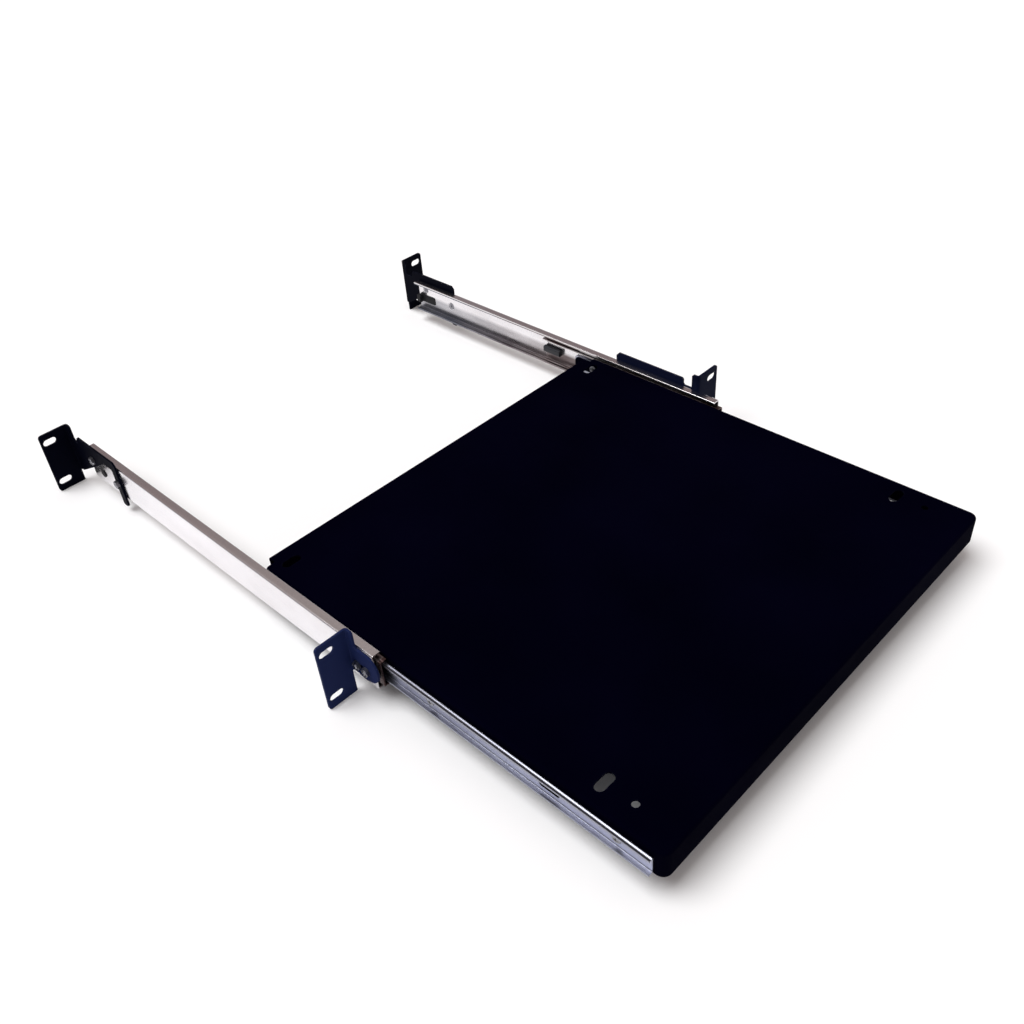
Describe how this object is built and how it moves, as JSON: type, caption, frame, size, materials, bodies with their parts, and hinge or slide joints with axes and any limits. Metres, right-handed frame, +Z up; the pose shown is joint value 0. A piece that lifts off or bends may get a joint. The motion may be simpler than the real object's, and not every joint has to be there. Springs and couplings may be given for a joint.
{
  "type": "sliding rack shelf",
  "caption": "Flat folded steel shelf on telescopic ball slides, with slotted ear brackets that bolt it between the front and rear posts of an equipment rack.",
  "frame": {"origin": "centre of the four slots of the front ears, on the middle of the ears' thickness", "axes": "+X to the right seen from the front, -Y out of the rack towards the user, +Z up"},
  "size_m": [0.4826, 0.698, 0.0636],
  "materials": {
    "tray_paint": "fine-textured black powder coat",
    "bracket_paint": "semi-gloss black paint",
    "rail_steel": "bright zinc plate, cold-rolled",
    "cage_steel": "plain stamped steel",
    "ball_steel": "polished",
    "screw_steel": "dark zinc plate",
    "bumper_rubber": "matt moulded rubber",
    "stop_plastic": "moulded nylon"
  },
  "bodies": {
    "frame": {"outer_rail_left": "rail_steel", "rear_bracket_left": "bracket_paint", "front_bracket_left": "bracket_paint", "bracket_screws_left": "screw_steel", "bracket_nuts_left": "screw_steel", "rear_bumper_left": "bumper_rubber", "outer_rail_right": "rail_steel", "rear_bracket_right": "bracket_paint", "front_bracket_right": "bracket_paint", "bracket_screws_right": "screw_steel", "bracket_nuts_right": "screw_steel", "rear_bumper_right": "bumper_rubber"},
    "middle_left": {"middle_rail_left": "rail_steel", "middle_stop_left": "stop_plastic"},
    "outer_cage_left": {"outer_ball_cage_left": "cage_steel", "outer_balls_left": "ball_steel"},
    "inner_cage_left": {"inner_ball_cage_left": "cage_steel", "inner_balls_left": "ball_steel"},
    "middle_right": {"middle_rail_right": "rail_steel", "middle_stop_right": "stop_plastic"},
    "outer_cage_right": {"outer_ball_cage_right": "cage_steel", "outer_balls_right": "ball_steel"},
    "inner_cage_right": {"inner_ball_cage_right": "cage_steel", "inner_balls_right": "ball_steel"},
    "tray": {"tray": "tray_paint", "inner_rail_left": "rail_steel", "tray_screws_left": "screw_steel", "tray_nuts_left": "screw_steel", "inner_rail_right": "rail_steel", "tray_screws_right": "screw_steel", "tray_nuts_right": "screw_steel"}
  },
  "joints": [
    {"name": "middle_left_slide", "type": "slide", "parent": "frame", "child": "middle_left", "axis": [0, -1, 0], "range_m": [-0.195, 0.09]},
    {"name": "middle_right_slide", "type": "slide", "parent": "frame", "child": "middle_right", "axis": [0, -1, 0], "range_m": [-0.195, 0.09]},
    {"name": "tray_slide", "type": "slide", "parent": "middle_left", "child": "tray", "axis": [0, -1, 0], "range_m": [-0.0235, 0.079]},
    {"name": "outer_cage_left_slide", "type": "slide", "parent": "frame", "child": "outer_cage_left", "axis": [0, -1, 0], "range_m": [-0.0975, 0.045]},
    {"name": "inner_cage_left_slide", "type": "slide", "parent": "middle_left", "child": "inner_cage_left", "axis": [0, -1, 0], "range_m": [-0.01175, 0.0395]},
    {"name": "outer_cage_right_slide", "type": "slide", "parent": "frame", "child": "outer_cage_right", "axis": [0, -1, 0], "range_m": [-0.0975, 0.045]},
    {"name": "inner_cage_right_slide", "type": "slide", "parent": "middle_right", "child": "inner_cage_right", "axis": [0, -1, 0], "range_m": [-0.01175, 0.0395]}
  ],
  "couplings": [
    {"joint": "middle_right_slide", "follows": "middle_left_slide", "ratio": 1},
    {"joint": "outer_cage_left_slide", "follows": "middle_left_slide", "ratio": 0.5},
    {"joint": "inner_cage_left_slide", "follows": "tray_slide", "ratio": 0.5},
    {"joint": "outer_cage_right_slide", "follows": "middle_left_slide", "ratio": 0.5},
    {"joint": "inner_cage_right_slide", "follows": "tray_slide", "ratio": 0.5}
  ]
}
